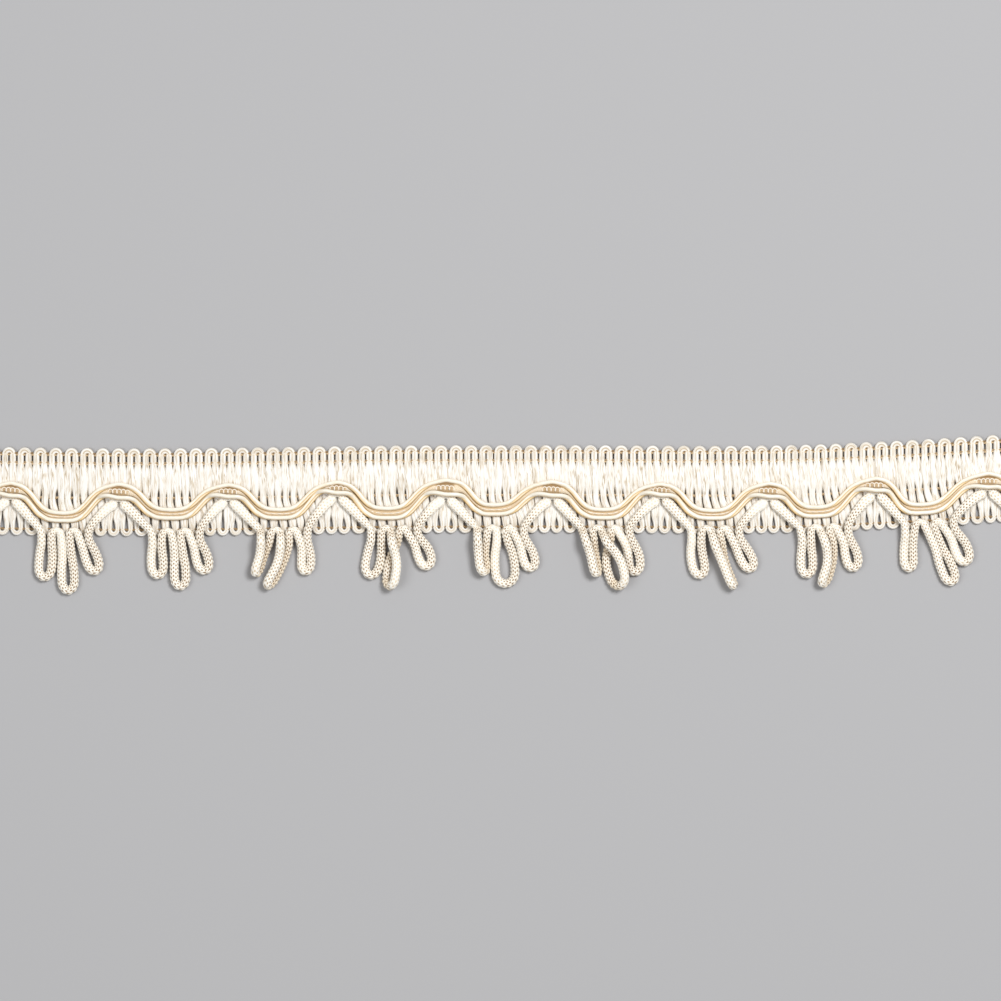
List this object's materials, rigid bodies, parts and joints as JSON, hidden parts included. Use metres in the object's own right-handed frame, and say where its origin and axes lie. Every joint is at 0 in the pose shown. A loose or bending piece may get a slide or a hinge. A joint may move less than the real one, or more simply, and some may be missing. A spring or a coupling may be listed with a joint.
{
  "type": "looped braid trim",
  "caption": "Cut length of woven off-white braid with two waved satin cords and a knitted cord that hangs below it in groups of loops.",
  "frame": {"origin": "on the flat back of the woven ground, at the middle of its length and of its width", "axes": "+X along the trim, +Y across it towards the scalloped upper edge and away from the loops, +Z out of its face"},
  "size_m": [0.2284, 0.0357, 0.0048],
  "materials": {
    "soft_white_weft": "soft bulky weft yarn, with a satin sheen along its floats",
    "cream_satin_cord": "glossy flat cord of two ribs, cream with tan grooves",
    "champagne_satin_cord": "glossy flat cord of two ribs, champagne with ochre grooves",
    "ivory_knitted_cord": "matte ivory tubular knit of small V stitches"
  },
  "bodies": {
    "root": {"ground_braid": "soft_white_weft", "upper_wavy_cord": "cream_satin_cord", "lower_wavy_cord": "champagne_satin_cord", "looped_cord": "ivory_knitted_cord"}
  },
  "joints": []
}
